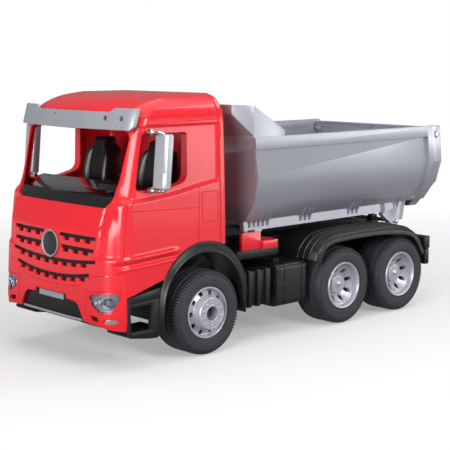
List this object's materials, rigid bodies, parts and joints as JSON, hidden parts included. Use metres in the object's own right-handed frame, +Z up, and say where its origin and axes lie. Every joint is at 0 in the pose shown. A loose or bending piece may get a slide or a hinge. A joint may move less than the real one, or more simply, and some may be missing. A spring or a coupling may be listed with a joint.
{
  "type": "toy dump truck",
  "caption": "Push-along toy dump truck with an open cab, rolling wheels, a tipping bucket, a hinged tailgate and a sliding bucket lock.",
  "frame": {"origin": "on the ground under the middle of the truck's bounding box", "axes": "+Z up, -Y towards the cab's front, +X the truck's left side"},
  "size_m": [0.301, 0.6443, 0.331],
  "materials": {
    "red_plastic": "bright red moulded plastic, glossy",
    "grey_plastic": "cool mid-grey moulded plastic, satin",
    "black_plastic": "black moulded plastic, satin",
    "silver_plastic": "silver metallic plastic, semi-gloss",
    "lamp_plastic": "silver-grey lamp inset, glossy",
    "steel": "plain drawn steel rod",
    "rim_plastic": "silver-grey plastic wheel disc",
    "tyre_plastic": "dark grey hollow plastic tyre, matt"
  },
  "bodies": {
    "chassis": {"badge": "silver_plastic", "battery_box_left": "black_plastic", "battery_box_right": "black_plastic", "bumper_insert": "black_plastic", "bumper_lip": "silver_plastic", "cab_floor": "black_plastic", "cab_shell": "red_plastic", "chassis_frame": "black_plastic", "dashboard": "black_plastic", "fog_lamp_left": "lamp_plastic", "fog_lamp_right": "lamp_plastic", "front_axle": "steel", "front_bumper": "red_plastic", "front_fender_left": "black_plastic", "front_fender_right": "black_plastic", "fuel_tank_left": "black_plastic", "fuel_tank_right": "black_plastic", "grille_insert": "black_plastic", "headlight_left": "lamp_plastic", "headlight_right": "lamp_plastic", "middle_axle": "steel", "mirror_left": "silver_plastic", "mirror_right": "silver_plastic", "mudflap_left": "black_plastic", "mudflap_right": "black_plastic", "number_plate": "silver_plastic", "rear_axle": "steel", "rear_crossmember": "black_plastic", "rear_fender_left": "black_plastic", "rear_fender_right": "black_plastic", "seat_left": "black_plastic", "seat_right": "black_plastic", "sun_visor": "silver_plastic", "tank_cap_left": "black_plastic", "tank_cap_right": "black_plastic", "tipper_pin": "steel"},
    "wheel_front_left": {"tyre_front_left": "tyre_plastic", "rim_front_left": "rim_plastic", "axle_cap_front_left": "rim_plastic"},
    "wheel_front_right": {"tyre_front_right": "tyre_plastic", "rim_front_right": "rim_plastic", "axle_cap_front_right": "rim_plastic"},
    "wheel_middle_left": {"tyre_middle_left": "tyre_plastic", "rim_middle_left": "rim_plastic", "axle_cap_middle_left": "rim_plastic"},
    "wheel_middle_right": {"tyre_middle_right": "tyre_plastic", "rim_middle_right": "rim_plastic", "axle_cap_middle_right": "rim_plastic"},
    "wheel_rear_left": {"tyre_rear_left": "tyre_plastic", "rim_rear_left": "rim_plastic", "axle_cap_rear_left": "rim_plastic"},
    "wheel_rear_right": {"tyre_rear_right": "tyre_plastic", "rim_rear_right": "rim_plastic", "axle_cap_rear_right": "rim_plastic"},
    "tipper": {"tipper_bucket": "grey_plastic", "tipper_subframe": "grey_plastic", "tailgate_pin_left": "steel", "tailgate_pin_right": "steel"},
    "tailgate": {"tailgate": "grey_plastic"},
    "latch": {"latch_slider": "red_plastic"}
  },
  "joints": [
    {"name": "wheel_front_left_spin", "type": "hinge", "parent": "chassis", "child": "wheel_front_left", "pos_m": [0.1005, -0.1666, 0.055], "axis": [1, 0, 0], "continuous": true},
    {"name": "wheel_front_right_spin", "type": "hinge", "parent": "chassis", "child": "wheel_front_right", "pos_m": [-0.1005, -0.1666, 0.055], "axis": [1, 0, 0], "continuous": true},
    {"name": "wheel_middle_left_spin", "type": "hinge", "parent": "chassis", "child": "wheel_middle_left", "pos_m": [0.1005, 0.0942, 0.055], "axis": [1, 0, 0], "continuous": true},
    {"name": "wheel_middle_right_spin", "type": "hinge", "parent": "chassis", "child": "wheel_middle_right", "pos_m": [-0.1005, 0.0942, 0.055], "axis": [1, 0, 0], "continuous": true},
    {"name": "wheel_rear_left_spin", "type": "hinge", "parent": "chassis", "child": "wheel_rear_left", "pos_m": [0.1005, 0.2207, 0.055], "axis": [1, 0, 0], "continuous": true},
    {"name": "wheel_rear_right_spin", "type": "hinge", "parent": "chassis", "child": "wheel_rear_right", "pos_m": [-0.1005, 0.2207, 0.055], "axis": [1, 0, 0], "continuous": true},
    {"name": "tipper_tilt", "type": "hinge", "parent": "chassis", "child": "tipper", "pos_m": [0, 0.2535, 0.128], "axis": [-1, 0, 0], "range_deg": [0, 50]},
    {"name": "tailgate_swing", "type": "hinge", "parent": "tipper", "child": "tailgate", "pos_m": [0, 0.2975, 0.26], "axis": [1, 0, 0], "range_deg": [0, 60]},
    {"name": "latch_slide", "type": "slide", "parent": "chassis", "child": "latch", "axis": [-1, 0, 0], "range_m": [0, 0.006]}
  ]
}
